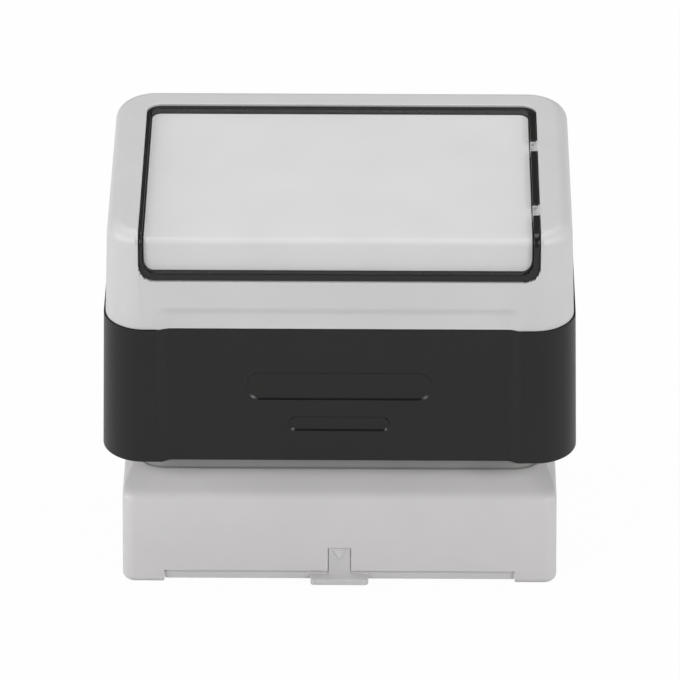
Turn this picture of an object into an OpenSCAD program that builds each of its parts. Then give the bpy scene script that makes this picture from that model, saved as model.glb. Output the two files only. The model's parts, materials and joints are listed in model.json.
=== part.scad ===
// Pre-inked hand stamp in its cap: a rectangular grip over a sliding sleeve, with a label on top.
// The feet stand on z = 0, the stamp is centred on the Z axis and its front faces -Y.

/* [Stamp face] */
// Width of the stamp face sheet
face_w = 58; // [46:1:72]
// Depth of the stamp face sheet
face_d = 34; // [27:1:42]
// Thickness of the face sheet behind its raised print
face_t = 1.8; // [1.2:0.1:2.6]
// Height of the raised print
relief_h = 1.2; // [0.9:0.1:1.8]
// Blank margin around the raised print
print_margin = 1.5; // [1.2:0.1:3]
// Width of the raised border line
border_line = 1.2; // [0.6:0.1:2]
// Travel of the handle from rest to the print
press_stroke = 5; // [3:0.25:5.25]

/* [Ink cell] */
// Thickness of the felt that feeds the face
feed_t = 2; // [1:0.25:3]
// Height of the ink-soaked reservoir block
reservoir_h = 8.6; // [5:0.2:11]
// Wall of the holder around the ink pads
holder_wall = 1.5; // [1:0.1:1.5]

/* [Clamp and core] */
// Rail of the clamp frame at each end of the face
clamp_end = 2.9; // [2.2:0.1:3.4]
// Rail of the clamp frame along the front and back
clamp_side = 0.7; // [0.6:0.05:1]
// Height of the clamp lip that holds the face sheet
clamp_lip = 0.8; // [0.5:0.1:0.9]
// Wall of the core frame
core_wall = 1.6; // [1.2:0.1:2]
// Thickness of the core frame's top plate
plate_t = 2; // [1.5:0.1:2.4]

/* [Slide sleeve] */
// Wall of the slide sleeve
sleeve_wall = 1.2; // [0.9:0.1:1.5]
// Corner radius of the slide sleeve in plan
sleeve_corner = 5; // [4:0.1:6]
// Thickness of the sleeve's stop flange
flange_t = 1.6; // [1.2:0.1:2]
// Length of the sleeve above its stop flange
sleeve_guide = 13.3; // [8:0.1:13.5]
// Running gap around the core and around the sleeve
run_gap = 0.3; // [0.2:0.05:0.35]

/* [Return springs] */
// Outer radius of a return spring
spring_r = 2; // [1.6:0.1:2]
// Diameter of the spring wire
wire_d = 0.5; // [0.35:0.05:0.6]
// Turns of a return spring
spring_turns = 8; // [6:1:10]
// Distance of the springs from the middle, along the width
spring_x = 31; // [26:0.5:31.5]

/* [Grip housing] */
// Grip overhang beyond the sleeve at each end
grip_side = 5.5; // [5:0.1:8]
// Grip overhang beyond the sleeve at front and back
grip_front = 7.7; // [7.5:0.1:10]
// Height of the grip housing
grip_h = 24.6; // [23.6:0.2:30]
// Inward lean of each grip wall over its height
grip_draft = 0.5; // [0:0.1:0.8]
// Corner radius of the grip in plan
grip_corner = 6.9; // [5:0.1:7]
// Wall of the grip housing
grip_wall = 1.5; // [1.2:0.1:1.6]
// Thickness of the grip housing's bottom flange
grip_floor = 1.6; // [1.2:0.1:2]
// Depth of the finger recesses
recess_depth = 1; // [0.4:0.1:1]
// Half width of a finger recess at its bottom
recess_half = 28.1; // [20:0.1:29]
// Width of the slanted side of a finger recess
recess_side = 1.7; // [0.8:0.1:2.4]

/* [Handle shell] */
// Height of the handle shell above the grip
shell_h = 17.1; // [15:0.1:22]
// Step from the grip to the shell, each side
shell_step = 0.3; // [0.1:0.05:0.5]
// Inward lean of each shell wall over its height
shell_draft = 0.55; // [0:0.05:0.8]
// Radius of the shell's top edge
edge_r = 2.3; // [1.9:0.1:2.6]
// Wall of the shell at its ends
shell_wall = 1.8; // [1.5:0.1:2.2]
// Thickness of the shell's top
shell_top_t = 2; // [1.6:0.1:2.4]

/* [Label] */
// Margin of shell left beside the label opening
label_margin = 6.5; // [5.5:0.1:9]
// Margin of shell left behind the label opening
label_back = 6.8; // [5.5:0.1:9]
// Height of shell left in front, below the label opening
label_foot = 8.8; // [8:0.1:11]
// Thickness of the clear label cover
cover_t = 0.8; // [0.6:0.1:0.9]
// Depth of the cover below the shell's surface
cover_sink = 0.4; // [0.3:0.05:0.5]
// Depth of the tray's rim below the shell's surface
rim_sink = 0.3; // [0.2:0.05:0.35]
// Thickness of the label card
card_t = 0.3; // [0.2:0.05:0.4]
// Thickness of the label tray
tray_t = 1.2; // [0.8:0.1:1.4]

/* [Cap] */
// Gap between the cap's deck and the grip
press_gap = 5.5; // [5.5:0.1:8]
// Cap overhang beyond the sleeve at each end
cap_side = 2.6; // [2.4:0.1:3.4]
// Cap overhang beyond the sleeve at front and back
cap_front = 5.35; // [4.8:0.05:6.5]
// Height of the cap's outer edge above the floor
cap_edge_z = 16.65; // [13.5:0.05:18]
// Rise of the sloping deck to the sleeve opening
deck_rise = 2.7; // [1.5:0.1:3.5]
// Wall of the cap
cap_wall = 1.5; // [1.2:0.1:1.5]
// Corner radius of the cap in plan
cap_corner = 2.1; // [1.8:0.1:3]
// Inward lean of each cap wall over its height
cap_draft = 0.2; // [0:0.05:0.4]
// Height of the corner feet
foot_h = 2.55; // [2.3:0.05:3]
// Width and depth of a corner foot
foot_w = 7; // [6:0.1:9]

/* [Base lid] */
// Thickness of the base lid
lid_t = 1.8; // [1.6:0.05:2.1]
// Thickness of the seal pad
seal_t = 0.8; // [0.5:0.05:1.2]
// Radius of the lid's hinge trunnions
trunnion_r = 0.6; // [0.4:0.05:0.65]
// Width of the latch tongue
tongue_w = 3.7; // [3:0.1:6]
// Height of the latch tongue above the lid
tongue_h = 4.3; // [3.5:0.1:6]
// Width of the thumb lip
lip_w = 9.6; // [7:0.1:14]

/* [Hidden] */

// Clearances: seat is left between pieces of one body, fit around a piece in its pocket.
seat = 0.05;
fit = 0.1;
snug = 0.15;
far = 200;
ring_steps = 6;
$fn = 48;

// Heights, from the floor up.
lid_z = foot_h - fit;
lid_lift = lid_z - lid_t;
seal_z = lid_z + seal_t;
sleeve_z = seal_z + 0.2;
print_z = sleeve_z - fit + press_stroke;
sheet_z = print_z + relief_h;
cell_z = sheet_z + face_t;
feed_top = cell_z + feed_t;
reservoir_top = feed_top + reservoir_h;
holder_top = reservoir_top + holder_wall;
deck_z = cap_edge_z + deck_rise;
grip_z = deck_z + press_gap;
grip_top = grip_z + grip_h;
shell_top = grip_top + shell_h;
flange_z = grip_z + grip_floor + fit;
flange_top = flange_z + flange_t;
plate_top = grip_top - 0.4;
plate_z = plate_top - plate_t;

// Plan sizes, from the stamp face outwards.
clamp_in_w = face_w + 2 * fit;
clamp_in_d = face_d + 2 * fit;
bore_corner = sleeve_corner - sleeve_wall;
core_corner = bore_corner - run_gap;
core_w = clamp_in_w + 2 * clamp_end;
core_d = clamp_in_d + 2 * clamp_side;
bore_w = core_w + 2 * run_gap;
bore_d = core_d + 2 * run_gap;
sleeve_w = bore_w + 2 * sleeve_wall;
sleeve_d = bore_d + 2 * sleeve_wall;
holder_w = face_w - 2 * fit;
holder_d = face_d - 2 * fit;
grip_w = sleeve_w + 2 * grip_side;
grip_d = sleeve_d + 2 * grip_front;
grip_in_w = grip_w - 2 * grip_wall;
grip_in_d = grip_d - 2 * (grip_wall + recess_depth);
grip_in_r = grip_corner - grip_wall;
shell_w = grip_w - 2 * grip_draft - 2 * shell_step;
shell_d = grip_d - 2 * grip_draft - 2 * shell_step;
shell_r = grip_corner - shell_step;
shell_in_w = shell_w - 2 * shell_wall;
shell_in_d = shell_d - 2 * (grip_wall + recess_depth + 0.2);
cap_w = sleeve_w + 2 * cap_side;
cap_d = sleeve_d + 2 * cap_front;

// Screws and their bosses, behind and in front of the sleeve.
screw_x = 14;
screw_r = 0.8;
screw_len = 8;
head_r = 1.5;
head_h = 1.2;
boss_r = 1.7;
boss_y = sleeve_d / 2 + run_gap + fit + boss_r;
spring_y = sleeve_d / 2 + run_gap + snug + spring_r;
post_r = spring_r - wire_d - 0.3;
post_h = 5;
peg_h = 2;

// Snap tabs of the shell, inside the grip's top edge.
tab_t = 1;
tab_drop = 4;
tab_end_w = 16;
tab_front_w = 12;
hook_h = 1.2;
hook_out = 0.45;
plate_w = grip_in_w - 2 * grip_draft - 2 * 0.2;
plate_d = grip_in_d - 2 * grip_draft - 2 * 0.2;
tab_x = plate_w / 2;
tab_y = plate_d / 2;

// Label: the front wall leans, and the label layers bend over the top edge about one centre.
lean = atan(shell_draft / shell_h);
bend_z = shell_top - edge_r;
bend_y = -shell_d / 2 + shell_draft * (shell_h - edge_r) / shell_h + edge_r;
open_x = (shell_w - 2 * shell_draft) / 2 - label_margin + 1.35;
open_y = shell_d / 2 - label_back + 0.8;
open_z = grip_top + label_foot;
tray_x = open_x - snug;
tray_y = open_y - snug;
tray_z = open_z + snug;
rim_left = 0.5;
rim_right = 1;
rim_back = 0.9;
rim_foot = 1.2;
cover_left = -tray_x + rim_left + snug;
cover_right = tray_x - rim_right - snug;
cover_back = tray_y - rim_back - snug;
cover_foot = tray_z + rim_foot + snug;
card_top = cover_sink + cover_t + seat;
tray_sink = card_top + card_t + seat;
knuckle_x = cover_right + 0.5;
knuckle_r = 0.4;
knuckle_z = shell_top - knuckle_r - 0.1;
knuckle_len = 2.5;
knuckle_ys = [6.4, -15.6];
ear_left = cover_right + fit;
ear_half = knuckle_len / 2 + 0.4;

// Base lid and its hinge, held in the rear feet.
hinge_r = lid_t / 2;
hinge_y = cap_d / 2 - cap_wall - snug;
hinge_z = lid_lift + hinge_r;
foot_x = cap_w / 2 - foot_w;
foot_y = cap_d / 2 - foot_w;
trunnion_len = 2.4;
lid_w = cap_w - 1.4;
lid_front = -cap_d / 2 + 0.65;
tongue_t = 1;
tongue_y = lid_front - 0.3;
latch_w = 2.1;
latch_h = 2;
latch_out = 0.25;
lip_out = 2.1;
lip_h = 1.05;

// ---- Shared shapes ----

// Points of a rounded rectangle at height z, the same number for every size.
function ring(w, d, r, z) = [
    for (c = [0 : 3], k = [0 : ring_steps])
        let (a = 90 * (c + k / ring_steps))
        [
            (c == 0 || c == 3 ? 1 : -1) * (w / 2 - r) + r * cos(a),
            (c < 2 ? 1 : -1) * (d / 2 - r) + r * sin(a),
            z
        ]
];

// Skin over a stack of rings, closed by a flat face at each end.
module loft(rings) {
    n = len(rings[0]);
    top = len(rings) - 1;
    polyhedron(
        points = [for (one = rings) for (p = one) p],
        faces = concat(
            [[for (i = [0 : n - 1]) i]],
            [for (k = [0 : top - 1], i = [0 : n - 1])
                [k * n + i, (k + 1) * n + i, (k + 1) * n + (i + 1) % n]],
            [for (k = [0 : top - 1], i = [0 : n - 1])
                [k * n + i, (k + 1) * n + (i + 1) % n, k * n + (i + 1) % n]],
            [[for (i = [n - 1 : -1 : 0]) top * n + i]]
        )
    );
}

// Flat rounded rectangle with true round corners.
module plan(w, d, r) {
    square([w - 2 * r, d], center = true);
    square([w, d - 2 * r], center = true);
    for (x = [-1, 1], y = [-1, 1]) translate([x * (w / 2 - r), y * (d / 2 - r)]) circle(r);
}

module prism(w, d, r, z0, z1) {
    translate([0, 0, z0]) linear_extrude(z1 - z0) plan(w, d, r);
}

// Upright block between two corners.
module block(low, high) {
    translate(low) cube(high - low);
}

// Copies in all four corners of the plan.
module corners(x, y) {
    for (sx = [-1, 1], sy = [-1, 1]) translate([sx * x, sy * y, 0]) children();
}

// Copies at the front and, mirrored, at the back.
module front_and_back() {
    children();
    mirror([0, 1, 0]) children();
}

// Copies at the right end and, mirrored, at the left end.
module both_ends() {
    children();
    mirror([1, 0, 0]) children();
}

// ---- Cap, base lid and seal ----

module cap_outer(z0) {
    loft([
        ring(cap_w, cap_d, cap_corner, z0),
        ring(cap_w - 2 * cap_draft, cap_d - 2 * cap_draft, cap_corner, cap_edge_z),
        ring(
            sleeve_w + 2 * (run_gap + fit),
            sleeve_d + 2 * (run_gap + fit),
            sleeve_corner + run_gap + fit,
            deck_z
        )
    ]);
}

module cap_inner() {
    loft([
        ring(cap_w - 2 * cap_wall, cap_d - 2 * cap_wall, cap_corner - cap_wall, foot_h - fit),
        ring(
            cap_w - 2 * cap_draft - 2 * cap_wall,
            cap_d - 2 * cap_draft - 2 * cap_wall,
            cap_corner - cap_wall,
            cap_edge_z - cap_wall
        ),
        ring(sleeve_w, sleeve_d, sleeve_corner, deck_z - cap_wall)
    ]);
}

// Guide ribs that hold the sleeve upright in the cap.
module guide_ribs() {
    rib = 1.2;
    low = sleeve_z + 1;
    front_and_back() for (x = [-24, -8, 8, 24])
        block(
            [x - rib / 2, sleeve_d / 2 + run_gap, low],
            [x + rib / 2, cap_d / 2 - cap_wall / 2, cap_edge_z - cap_wall / 2]
        );
    both_ends() for (y = [-12, 12])
        block(
            [sleeve_w / 2 + run_gap, y - rib / 2, low],
            [cap_w / 2 - cap_wall / 2, y + rib / 2, cap_edge_z - cap_wall / 2]
        );
}

module corner_feet() {
    intersection() {
        prism(cap_w, cap_d, cap_corner, 0, foot_h + fit);
        corners(cap_w / 2 - foot_w / 2, cap_d / 2 - foot_w / 2)
            translate([0, 0, foot_h / 2 + fit]) cube([foot_w, foot_w, foot_h + 2 * fit], center = true);
    }
}

module cap_housing() {
    color([0.78, 0.77, 0.77]) difference() {
        union() {
            difference() {
                cap_outer(foot_h);
                cap_inner();
            }
            guide_ribs();
            corner_feet();
        }
        prism(
            cap_w - 2 * cap_wall,
            cap_d - 2 * cap_wall,
            cap_corner - cap_wall,
            lid_z - fit,
            foot_h + 2 * fit
        );
        prism(
            sleeve_w + 2 * run_gap,
            sleeve_d + 2 * run_gap,
            sleeve_corner + run_gap,
            lid_z + fit,
            deck_z + fit
        );
        // Bores for the lid's trunnions, in the inner sides of the rear feet.
        for (side = [-1, 1])
            translate([side * foot_x, hinge_y, hinge_z])
                rotate([0, 90, 0]) cylinder(r = trunnion_r + seat, h = 2 * trunnion_len, center = true);
        // Notch for the latch tongue.
        block(
            [-tongue_w / 2 - 0.2, -cap_d / 2 - 1, 0],
            [tongue_w / 2 + 0.2, -cap_d / 2 + 2 * cap_wall, lid_z + tongue_h + 0.3]
        );
    }
}

// Outline of the lid: a plate with its corners cut away around the feet.
module lid_plan(w, front, back) {
    difference() {
        translate([-w / 2, front]) square([w, back - front]);
        corners(foot_x - 0.2 + foot_w, foot_y - 0.2 + foot_w) square(2 * foot_w, center = true);
    }
}

module base_lid() {
    color([0.76, 0.76, 0.77]) {
        translate([0, 0, lid_lift]) linear_extrude(lid_t) lid_plan(lid_w, lid_front, hinge_y);
        translate([0, hinge_y, hinge_z]) rotate([0, 90, 0]) {
            cylinder(r = hinge_r, h = 2 * (foot_x - 0.2), center = true);
            cylinder(r = trunnion_r, h = 2 * (foot_x + trunnion_len - 0.5), center = true);
        }
        // Latch tongue with a wedge on its face.
        block([-tongue_w / 2, tongue_y, lid_lift], [tongue_w / 2, tongue_y + tongue_t, lid_z + tongue_h]);
        translate([0, tongue_y + seat, lid_z + tongue_h - fit]) rotate([90, 0, 0])
            linear_extrude(latch_out + seat)
                polygon([[-latch_w / 2, 0], [0, -latch_h], [latch_w / 2, 0]]);
        // Thumb lip.
        block([-lip_w / 2, lid_front - lip_out, lid_lift], [lip_w / 2, lid_front + 1, lid_lift + lip_h]);
    }
}

module seal_pad() {
    seal_w = sleeve_w + 1.4;
    seal_d = sleeve_d + 1.4;
    color([0.2, 0.2, 0.21]) translate([0, 0, lid_z]) linear_extrude(seal_t) intersection() {
        lid_plan(lid_w, lid_front, hinge_y);
        square([seal_w, seal_d], center = true);
    }
}

// ---- Slide sleeve and its return springs ----

module slide_sleeve() {
    flange_w = sleeve_w + 2 * (grip_side - grip_wall - 2.3);
    flange_d = grip_in_d - 0.8;
    color([0.72, 0.72, 0.73]) difference() {
        union() {
            prism(sleeve_w, sleeve_d, sleeve_corner, sleeve_z, flange_top + sleeve_guide);
            difference() {
                prism(flange_w, flange_d, 4, flange_z, flange_top);
                // Notches that let the screw bosses and their webs pass.
                corners(screw_x, boss_y) translate([0, 0, flange_z - fit])
                    cylinder(r = boss_r + 0.4, h = flange_t + 2 * fit);
                front_and_back() for (x = [-screw_x, screw_x]) block(
                    [x - boss_r - 0.4, boss_y, flange_z - fit],
                    [x + boss_r + 0.4, grip_in_d / 2, flange_top + fit]
                );
            }
            corners(spring_x, spring_y) translate([0, 0, flange_top - fit]) cylinder(r = post_r, h = post_h);
        }
        prism(bore_w, bore_d, bore_corner, sleeve_z - 1, flange_top + sleeve_guide + 1);
    }
}

// Rings of a round wire along a helix whose end turns lie flat.
function coil_rings(turns, low, high, per_turn, sides) = [
    for (i = [0 : turns * per_turn])
        let (
            a = 360 * i / per_turn,
            rise = min(1, max(0, (i / per_turn - 1) / (turns - 2))),
            z = low + wire_d / 2 + wire_d * min(1, i / per_turn)
                + (high - low - 3 * wire_d) * rise
                + wire_d * max(0, i / per_turn - turns + 1),
            mean = spring_r - wire_d / 2
        )
        [
            for (s = [0 : sides - 1])
                let (b = -360 * s / sides, rad = mean + wire_d / 2 * cos(b))
                [rad * cos(a), rad * sin(a), z + wire_d / 2 * sin(b)]
        ]
];

module return_spring(side, depth) {
    color([0.75, 0.76, 0.78]) translate([side * spring_x, depth * spring_y, 0])
        loft(coil_rings(spring_turns, flange_top, plate_z - seat, 14, 6));
}

module return_spring_front_left() {
    return_spring(-1, -1);
}

module return_spring_front_right() {
    return_spring(1, -1);
}

module return_spring_rear_left() {
    return_spring(-1, 1);
}

module return_spring_rear_right() {
    return_spring(1, 1);
}

// ---- Grip housing, core frame and screws ----

// Section of a finger recess whose flat lies depth behind a wall at -y, cut out to the air.
function recess_section(half, y, depth, z) = [
    [-half, y + depth, z],
    [-half - recess_side, y, z],
    [-half - recess_side, y - 2, z],
    [half + recess_side, y - 2, z],
    [half + recess_side, y, z],
    [half, y + depth, z]
];

module grip_outer() {
    foot_round = 0.5;
    loft([
        ring(grip_w - 2 * foot_round, grip_d - 2 * foot_round, grip_corner - foot_round, grip_z),
        ring(grip_w, grip_d, grip_corner, grip_z + foot_round),
        ring(grip_w - 2 * grip_draft, grip_d - 2 * grip_draft, grip_corner, grip_top)
    ]);
}

module grip_inner() {
    loft([
        ring(grip_in_w, grip_in_d, grip_in_r, grip_z + grip_floor),
        ring(grip_in_w - 2 * grip_draft, grip_in_d - 2 * grip_draft, grip_in_r, grip_top + fit)
    ]);
}

// Two plain sunk panels in the front recess.
module front_panels() {
    sunk = 0.25;
    grip_lean = atan(grip_draft / grip_h);
    translate([0, -grip_d / 2 + recess_depth + sunk, grip_z]) rotate([90 - grip_lean, 0, 0])
        linear_extrude(2) for (panel = [[30, 4.6, 13.9], [16, 2.2, 6.9]]) translate([0, panel[2]]) {
            square([panel[0] - panel[1], panel[1]], center = true);
            for (x = [-1, 1]) translate([x * (panel[0] - panel[1]) / 2, 0]) circle(panel[1] / 2);
        }
}

module grip_housing() {
    pocket_z = grip_top - tab_drop - 0.2;
    color([0.13, 0.13, 0.13]) difference() {
        union() {
            difference() {
                grip_outer();
                grip_inner();
                front_and_back() loft([
                    recess_section(recess_half, -grip_d / 2, recess_depth, grip_z - fit),
                    recess_section(recess_half, -grip_d / 2 + grip_draft, recess_depth, grip_top + fit)
                ]);
            }
            // Screw bosses, each joined to the wall by a web.
            corners(screw_x, boss_y) translate([0, 0, grip_z + 1]) cylinder(r = boss_r, h = plate_z - grip_z - 1);
            front_and_back() for (x = [-screw_x, screw_x])
                block([x - 0.8, boss_y, grip_z + 1], [x + 0.8, grip_in_d / 2 + 0.5, plate_z]);
            // End ribs that carry the core frame's plate.
            both_ends() for (y = [-14, 14])
                block([grip_in_w / 2 - 2, y - 0.7, grip_z + 1], [grip_in_w / 2 + 0.5, y + 0.7, plate_z]);
        }
        prism(
            sleeve_w + 2 * run_gap,
            sleeve_d + 2 * run_gap,
            sleeve_corner + run_gap,
            grip_z - 1,
            grip_z + grip_floor + fit
        );
        corners(screw_x, boss_y) translate([0, 0, plate_z - screw_len]) cylinder(r = screw_r + seat, h = screw_len + 1);
        // Pockets that take the hooks of the shell's snap tabs.
        both_ends() block(
            [tab_x - 0.1, -tab_end_w / 2 - 0.3, pocket_z],
            [tab_x + hook_out + 0.3, tab_end_w / 2 + 0.3, pocket_z + hook_h + 0.4]
        );
        front_and_back() block(
            [-tab_front_w / 2 - 0.3, tab_y - 0.1, pocket_z],
            [tab_front_w / 2 + 0.3, tab_y + hook_out + 0.3, pocket_z + hook_h + 0.4]
        );
        front_panels();
    }
}

module core_frame() {
    bay_w = core_w - 2 * core_wall;
    bay_d = core_d - 2 * core_wall;
    color([0.5, 0.51, 0.53]) difference() {
        union() {
            difference() {
                prism(core_w, core_d, core_corner, holder_top, plate_z + fit);
                prism(bay_w, bay_d, core_corner - core_wall, holder_top - 1, plate_z);
            }
            // Cross ribs that press on the ink cell.
            for (x = [-1, 1]) translate([x * bay_w / 6, 0, (holder_top + plate_z) / 2])
                cube([1.2, core_d - core_wall, plate_z - holder_top], center = true);
            prism(plate_w, plate_d, grip_in_r - 0.5, plate_z, plate_top);
            // Pegs that centre the springs.
            corners(spring_x, spring_y) translate([0, 0, plate_z - peg_h]) cylinder(r = post_r, h = peg_h + 1);
        }
        corners(screw_x, boss_y) translate([0, 0, plate_z - 1]) cylinder(r = screw_r + snug, h = plate_t + 2);
        // Notches for the shell's snap tabs.
        both_ends() block(
            [tab_x - tab_t - 0.2, -tab_end_w / 2 - 0.3, plate_z - 1],
            [tab_x + 1, tab_end_w / 2 + 0.3, plate_top + 1]
        );
        front_and_back() block(
            [-tab_front_w / 2 - 0.3, tab_y - tab_t - 0.2, plate_z - 1],
            [tab_front_w / 2 + 0.3, tab_y + 1, plate_top + 1]
        );
        // Windows that take the hooks of the clamp frame.
        both_ends() for (y = clamp_hook_ys)
            block(
                [bay_w / 2 - 0.5, y - clamp_hook_w / 2 - 0.2, holder_top + 2.3],
                [core_w / 2 + 1, y + clamp_hook_w / 2 + 0.2, holder_top + 4.2]
            );
    }
}

module frame_screws() {
    color([0.7, 0.71, 0.73]) corners(screw_x, boss_y) difference() {
        union() {
            translate([0, 0, plate_z - screw_len + 0.5]) cylinder(r = screw_r, h = screw_len + plate_t);
            translate([0, 0, plate_top]) cylinder(r = head_r, h = head_h);
        }
        // Cross slot of the head.
        translate([0, 0, plate_top + head_h]) {
            cube([1.8, 0.4, 1.2], center = true);
            cube([0.4, 1.8, 1.2], center = true);
        }
    }
}

// ---- Ink cell and stamp face ----

// Hooks at the ends of the clamp frame that snap into the core frame.
clamp_hook_w = 6;
clamp_hook_ys = [-9, 9];

module clamp_frame() {
    lip_in = print_margin - run_gap;
    hook_x = core_w / 2 - core_wall - 0.2;
    low = sheet_z - clamp_lip;
    color([0.45, 0.46, 0.48]) {
        difference() {
            prism(core_w, core_d, core_corner, low, holder_top - fit);
            block(
                [-clamp_in_w / 2, -clamp_in_d / 2, sheet_z],
                [clamp_in_w / 2, clamp_in_d / 2, holder_top + 1]
            );
            block(
                [-face_w / 2 + lip_in, -face_d / 2 + lip_in, low - 1],
                [face_w / 2 - lip_in, face_d / 2 - lip_in, holder_top + 1]
            );
        }
        both_ends() for (y = clamp_hook_ys) {
            block(
                [hook_x - 1, y - clamp_hook_w / 2, holder_top - 1],
                [hook_x, y + clamp_hook_w / 2, holder_top + 4]
            );
            block(
                [hook_x - 0.5, y - clamp_hook_w / 2, holder_top + 2.5],
                [hook_x + 1.2, y + clamp_hook_w / 2, holder_top + 4]
            );
        }
    }
}

module pad_holder() {
    color([0.62, 0.63, 0.65]) difference() {
        prism(holder_w, holder_d, 1, cell_z, holder_top);
        prism(holder_w - 2 * holder_wall, holder_d - 2 * holder_wall, 0.5, cell_z - 1, reservoir_top);
    }
}

module ink_block(z0, z1) {
    prism(
        holder_w - 2 * holder_wall - 2 * snug,
        holder_d - 2 * holder_wall - 2 * snug,
        0.4,
        z0 + seat,
        z1
    );
}

module ink_reservoir() {
    color([0.1, 0.1, 0.14]) ink_block(feed_top, reservoir_top);
}

module ink_feed_pad() {
    color([0.16, 0.16, 0.2]) ink_block(cell_z, feed_top);
}

module stamp_face() {
    print_w = face_w - 2 * print_margin;
    print_d = face_d - 2 * print_margin;
    bar_w = 0.45 * print_w;
    bar_t = 2;
    ring_out = 0.28 * print_d;
    color([0.35, 0.35, 0.37]) {
        block([-face_w / 2, -face_d / 2, sheet_z], [face_w / 2, face_d / 2, cell_z]);
        // Raised border.
        translate([0, 0, print_z]) linear_extrude(relief_h + fit) {
            difference() {
                square([print_w, print_d], center = true);
                square([print_w - 2 * border_line, print_d - 2 * border_line], center = true);
            }
            // A plain ring and three bars, as any stamp might print.
            translate([-print_w / 4 - 1, 0]) difference() {
                circle(ring_out);
                circle(ring_out - border_line);
            }
            for (row = [-1 : 1])
                translate([print_w / 6, row * 0.24 * print_d]) square([bar_w, bar_t], center = true);
        }
    }
}

// ---- Handle shell and label ----

// Points at a depth below the shell along the label's bend, from the top to the front.
function bend_points(depth) =
    depth < edge_r - fit
        ? [for (k = [0 : 8]) let (a = 90 + (90 - lean) * k / 8)
            [bend_y + (edge_r - depth) * cos(a), bend_z + (edge_r - depth) * sin(a)]]
        : [[bend_y + depth - edge_r, bend_z + edge_r - depth]];

// Point at a depth below the front wall and a height z.
function front_point(depth, z) = [bend_y - (edge_r - depth) / cos(lean) - (bend_z - z) * tan(lean), z];

// Layer that follows the top and the front between two depths, wide enough to be trimmed.
module label_layer(from, to) {
    outer = concat([[far, shell_top - from]], bend_points(from), [front_point(from, grip_top)]);
    bend = bend_points(to);
    inner = [for (i = [len(bend) - 1 : -1 : 0]) bend[i]];
    rotate([90, 0, 90]) translate([0, 0, -far / 2]) linear_extrude(far)
        polygon(concat(outer, [front_point(to, grip_top)], inner, [[far, shell_top - to]]));
}

// Rectangle from x0 to x1 whose edge at v1 has round corners of radius r; v0 is far away.
module tongue_plan(x0, x1, v1, r) {
    translate([x0, v1 - far]) square([x1 - x0, far - r]);
    translate([x0 + r, v1 - far]) square([x1 - x0 - 2 * r, far]);
    for (x = [x0 + r, x1 - r]) translate([x, v1 - r]) circle(r);
}

// Part of a layer inside the label's outline: back edge at y, front edge at height z.
module label_trim(x0, x1, y, z, back_r, foot_r) {
    intersection() {
        children();
        linear_extrude(far) tongue_plan(x0, x1, y, back_r);
        translate([0, far / 2, 0]) rotate([90, 0, 0]) linear_extrude(far)
            mirror([0, 1]) tongue_plan(x0, x1, -z, foot_r);
    }
}

// Rings of the shell, shrunk by an inset, with a round top edge.
function shell_rings(w, d, r, top, round_r) = concat(
    [ring(w, d, r, grip_top)],
    [for (k = [0 : 6])
        let (
            a = 15 * k,
            z = top - round_r + round_r * sin(a),
            drawn = 2 * shell_draft * (top - round_r - grip_top) / shell_h
                + 2 * round_r * (1 - cos(a))
        )
        ring(w - drawn, d - drawn, r - round_r * (1 - cos(a)), z)]
);

// Ledge under the opening's edge that carries the label tray.
module tray_ledge() {
    low = shell_top - tray_sink - tray_t - 1.2;
    difference() {
        block([-open_x - 1.2, bend_y, low], [open_x + 1.2, open_y + 1.2, shell_top - shell_top_t + 0.5]);
        block([-open_x + 2, bend_y - 1, low - 1], [open_x - 2, open_y - 1.6, shell_top]);
    }
}

// Cradles in the opening's edge for the knuckles of the label cover, each with a stop beside it.
module knuckle_ears() {
    for (y = knuckle_ys) difference() {
        union() {
            block(
                [ear_left, y - ear_half, shell_top - tray_sink - tray_t + 0.2],
                [open_x + 0.5, y + ear_half, knuckle_z]
            );
            block(
                [knuckle_x + knuckle_r + snug, y - ear_half, knuckle_z - 1],
                [open_x + 0.5, y + ear_half, shell_top - rim_sink]
            );
        }
        translate([knuckle_x, y, knuckle_z]) rotate([90, 0, 0])
            cylinder(r = knuckle_r + fit, h = knuckle_len + 0.3, center = true);
    }
}

// One snap tab at +x, hooked outwards at its foot.
module snap_tab(reach, width) {
    foot = grip_top - tab_drop;
    block([reach - tab_t, -width / 2, foot], [reach, width / 2, grip_top + 3]);
    block([reach - tab_t, -width / 2, foot], [reach + hook_out, width / 2, foot + hook_h]);
}

module handle_shell() {
    color([0.84, 0.84, 0.84]) {
        difference() {
            union() {
                difference() {
                    loft(shell_rings(shell_w, shell_d, shell_r, shell_top, edge_r));
                    translate([0, 0, -fit])
                        loft(shell_rings(
                            shell_in_w, shell_in_d, shell_r - shell_wall, shell_top - shell_top_t + fit, 1
                        ));
                }
                tray_ledge();
            }
            label_trim(-open_x, open_x, open_y, open_z, 2.5, 3) label_layer(-1, tray_sink + tray_t + seat);
            // The finger recesses run out in a slope just above the grip.
            front_and_back() loft([
                recess_section(recess_half, -shell_d / 2, recess_depth - shell_step, grip_top - fit),
                recess_section(recess_half - 0.6, -shell_d / 2 + 0.1, recess_depth - shell_step, grip_top + 3.3),
                recess_section(recess_half - 1, -shell_d / 2 + 0.05, seat, grip_top + 4.2)
            ]);
        }
        knuckle_ears();
        both_ends() snap_tab(tab_x, tab_end_w);
        front_and_back() rotate([0, 0, 90]) snap_tab(tab_y, tab_front_w);
    }
}

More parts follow.
